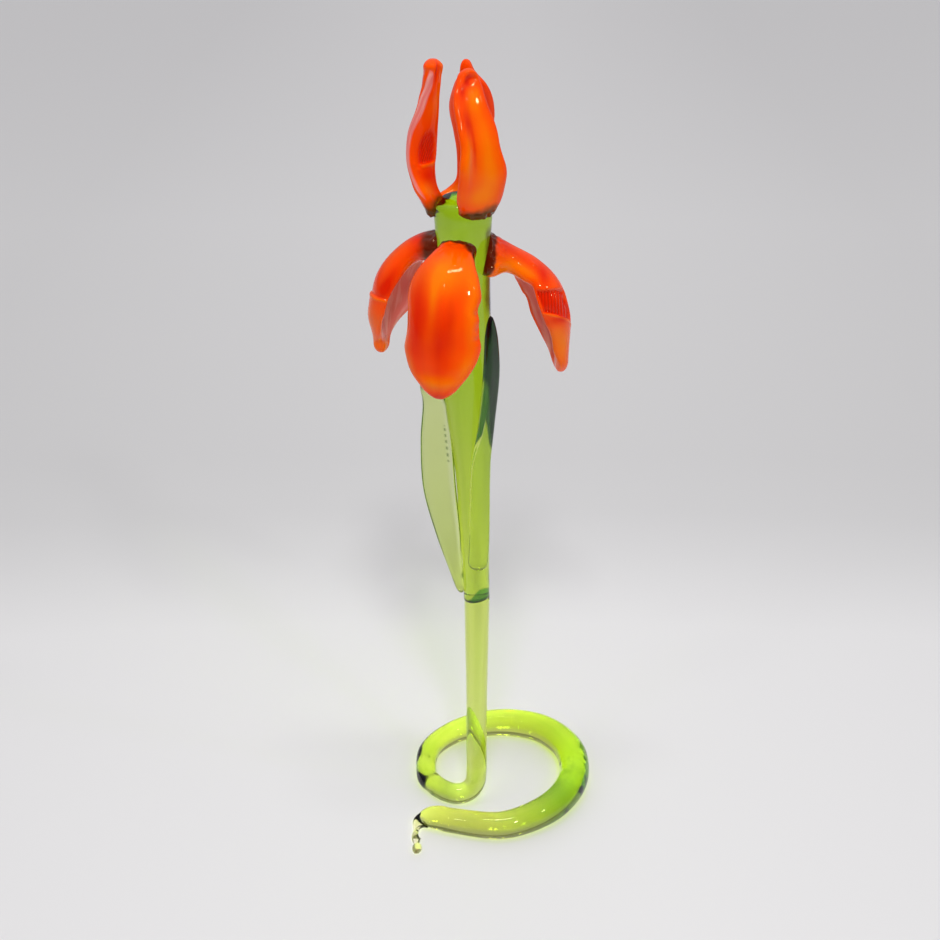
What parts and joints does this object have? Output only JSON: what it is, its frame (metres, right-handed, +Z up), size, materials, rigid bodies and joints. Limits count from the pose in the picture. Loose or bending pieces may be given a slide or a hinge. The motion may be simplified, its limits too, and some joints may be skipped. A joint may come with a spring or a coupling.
{
  "type": "glass iris flower ornament",
  "caption": "Flameworked glass iris in bloom, orange petals on a green stem whose coiled rod foot holds it upright on a table or shelf.",
  "frame": {"origin": "on the surface that the ornament stands on, under the middle of its box", "axes": "+Z up along the stem; the side with the front fall and the tail of the coil faces -Y"},
  "size_m": [0.0522, 0.0534, 0.1796],
  "materials": {
    "green_glass": "clear lime-green glass, fire-polished",
    "orange_glass": "opaque orange-red glass, pressed and fire-polished"
  },
  "bodies": {
    "root": {"stem_and_coil_foot": "green_glass", "flower_tube": "green_glass", "leaf_left": "green_glass", "leaf_right": "green_glass", "fall_left": "orange_glass", "fall_front": "orange_glass", "fall_right": "orange_glass", "standard_left": "orange_glass", "standard_back": "orange_glass", "standard_right": "orange_glass"}
  },
  "joints": []
}
